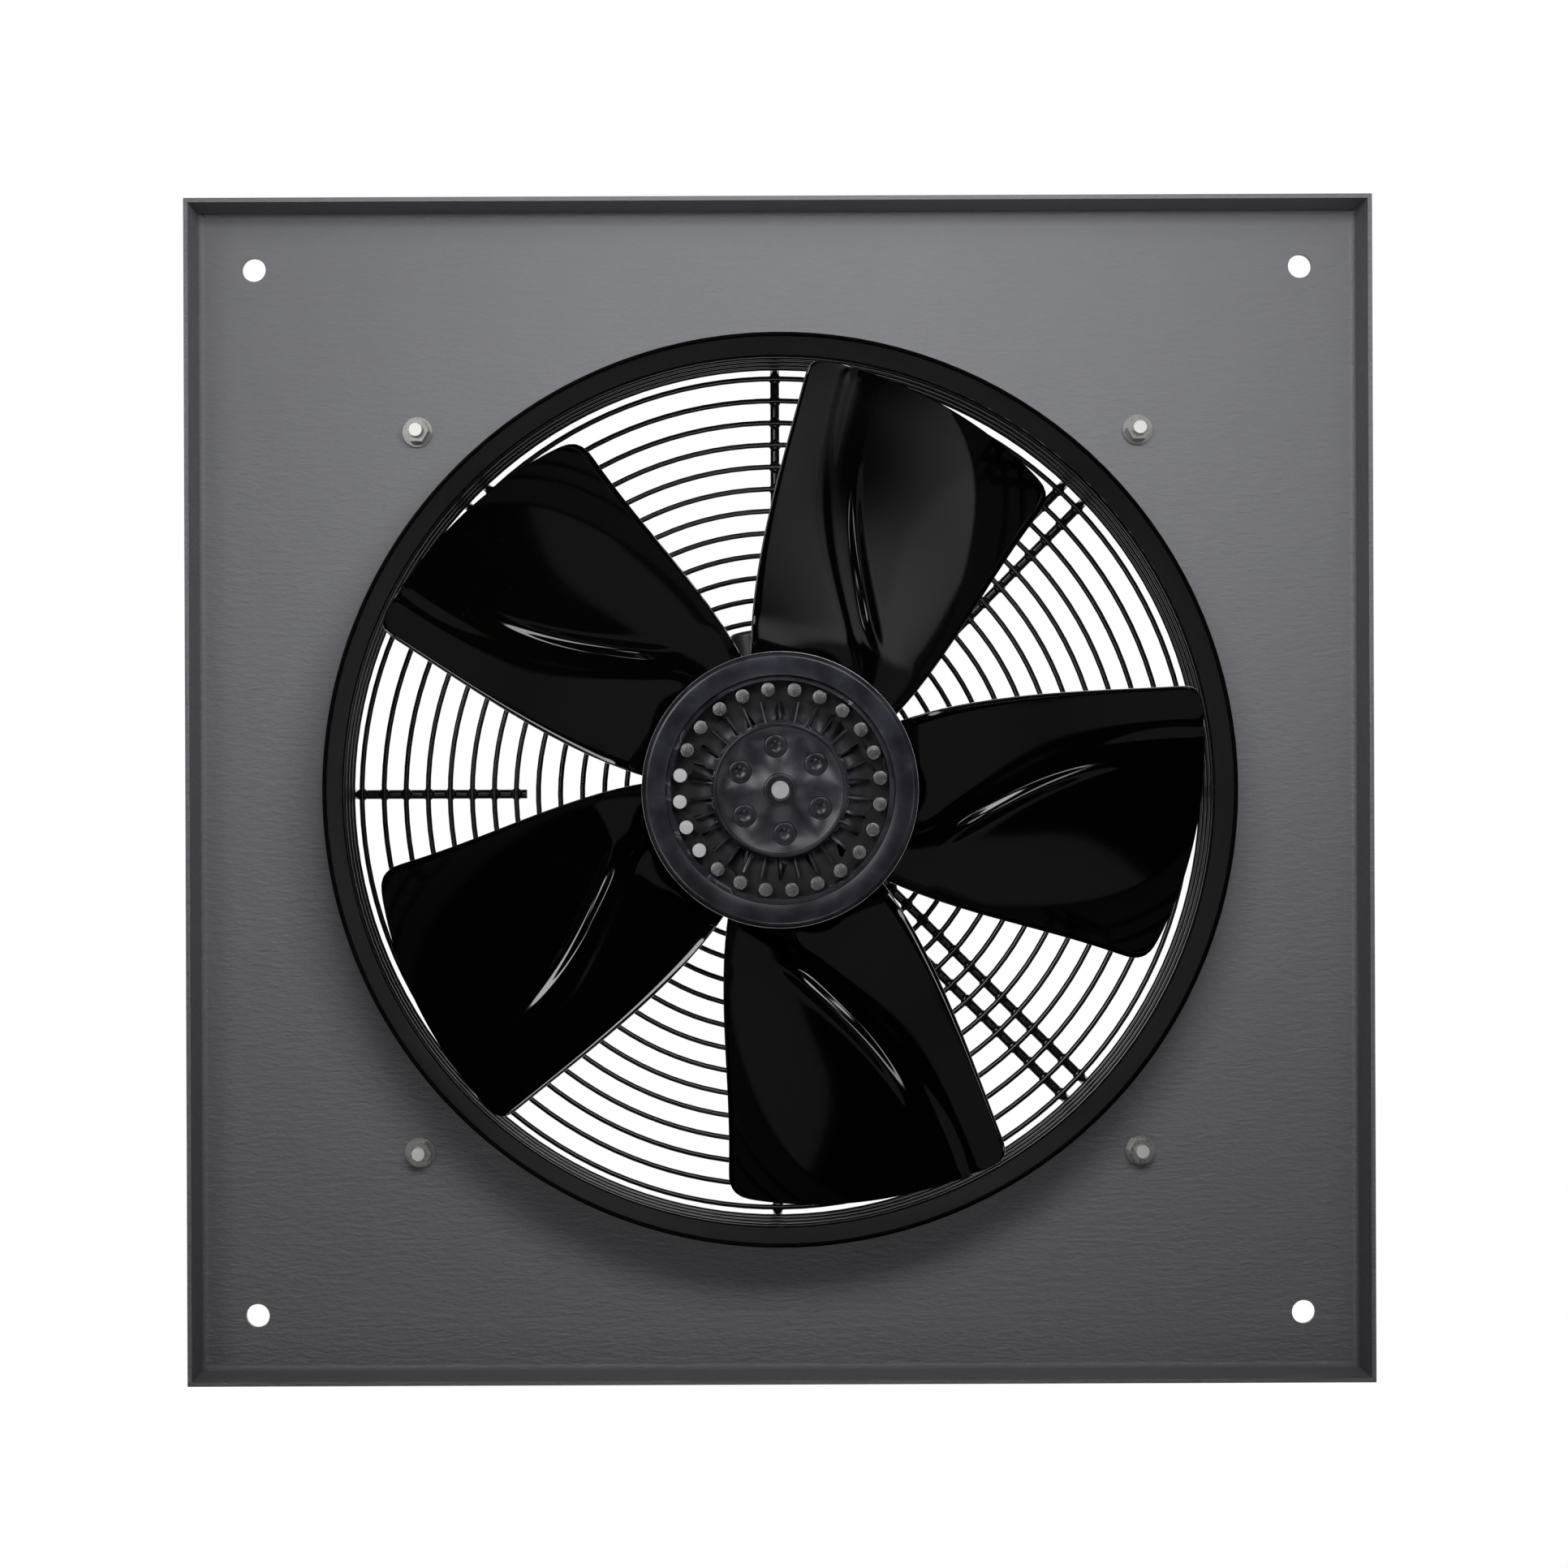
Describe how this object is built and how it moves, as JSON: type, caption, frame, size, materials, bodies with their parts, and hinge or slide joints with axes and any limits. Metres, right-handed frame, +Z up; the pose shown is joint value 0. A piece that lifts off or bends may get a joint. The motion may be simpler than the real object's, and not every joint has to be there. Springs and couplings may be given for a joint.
{
  "type": "axial wall fan",
  "caption": "Axial fan on a square wall plate: twisted sheet-metal blades on an external-rotor motor, short air nozzle and a welded wire basket that carries the motor.",
  "frame": {"origin": "on the fan axis, in the wall side of the plate's sheet, which is the centre of the wall bolt pattern", "axes": "+X right and +Z up as seen from the wall side; +Y along the fan axis, from the wall into the room, towards the wire basket"},
  "size_m": [0.545, 0.1074, 0.545],
  "materials": {
    "plate_paint": "fine-textured grey stoving enamel",
    "ring_paint": "black enamel, half gloss",
    "guard_coat": "black plastic-bonded coat on steel wire",
    "blade_paint": "black gloss enamel on sheet steel",
    "hub_paint": "blue-black enamel",
    "rotor_paint": "black enamel",
    "flange_paint": "black enamel on die-cast aluminium",
    "zinc_plate": "bright zinc plate",
    "screw_black": "blackened steel",
    "shaft_steel": "turned steel",
    "bearing_steel": "ground steel",
    "lamination": "stacked electrical sheet",
    "cage_aluminium": "as cast",
    "winding_copper": "enamelled copper wire",
    "insulator_nylon": "moulded nylon",
    "gland_plastic": "moulded black nylon",
    "seal_rubber": "moulded rubber"
  },
  "bodies": {
    "housing": {"wall_plate": "plate_paint", "nozzle_ring": "ring_paint", "guard_face_rings": "guard_coat", "guard_side_ring_1": "guard_coat", "guard_side_ring_2": "guard_coat", "guard_side_ring_3": "guard_coat", "guard_side_ring_4": "guard_coat", "guard_arm_1": "guard_coat", "guard_arm_2": "guard_coat", "guard_arm_3": "guard_coat", "guard_arm_4": "guard_coat", "guard_strut_1": "guard_coat", "guard_strut_2": "guard_coat", "guard_strut_3": "guard_coat", "guard_strut_4": "guard_coat", "guard_bolts": "zinc_plate", "guard_washers": "zinc_plate", "guard_nuts": "zinc_plate", "motor_bracket": "guard_coat", "motor_screws": "zinc_plate", "stator_flange": "flange_paint", "gland_body": "gland_plastic", "gland_nut": "gland_plastic", "gland_seal": "seal_rubber", "stator_core": "lamination", "stator_windings": "winding_copper", "slot_insulators": "insulator_nylon", "bearing_outer_rings": "bearing_steel", "bearing_shields": "bearing_steel", "preload_spring": "bearing_steel", "end_cap": "zinc_plate"},
    "rotor": {"hub_ring": "hub_paint", "blade_1": "blade_paint", "blade_2": "blade_paint", "blade_3": "blade_paint", "blade_4": "blade_paint", "blade_5": "blade_paint", "rotor_can": "rotor_paint", "rotor_core": "lamination", "rotor_cage": "cage_aluminium", "hub_disc": "hub_paint", "hub_screws": "screw_black", "shaft_flange": "bearing_steel", "rotor_shaft": "shaft_steel", "bearing_inner_rings": "bearing_steel", "shaft_clip": "bearing_steel"},
    "front_balls": {"front_ball_set": "bearing_steel"},
    "rear_balls": {"rear_ball_set": "bearing_steel"}
  },
  "joints": [
    {"name": "rotor_spin", "type": "hinge", "parent": "housing", "child": "rotor", "pos_m": [0, 0, 0], "axis": [0, 1, 0], "continuous": true},
    {"name": "front_balls_spin", "type": "hinge", "parent": "housing", "child": "front_balls", "pos_m": [0, -0.007, 0], "axis": [0, 1, 0], "continuous": true},
    {"name": "rear_balls_spin", "type": "hinge", "parent": "housing", "child": "rear_balls", "pos_m": [0, 0.0435, 0], "axis": [0, 1, 0], "continuous": true}
  ],
  "couplings": [
    {"joint": "front_balls_spin", "follows": "rotor_spin", "ratio": 0.368},
    {"joint": "rear_balls_spin", "follows": "rotor_spin", "ratio": 0.368}
  ]
}
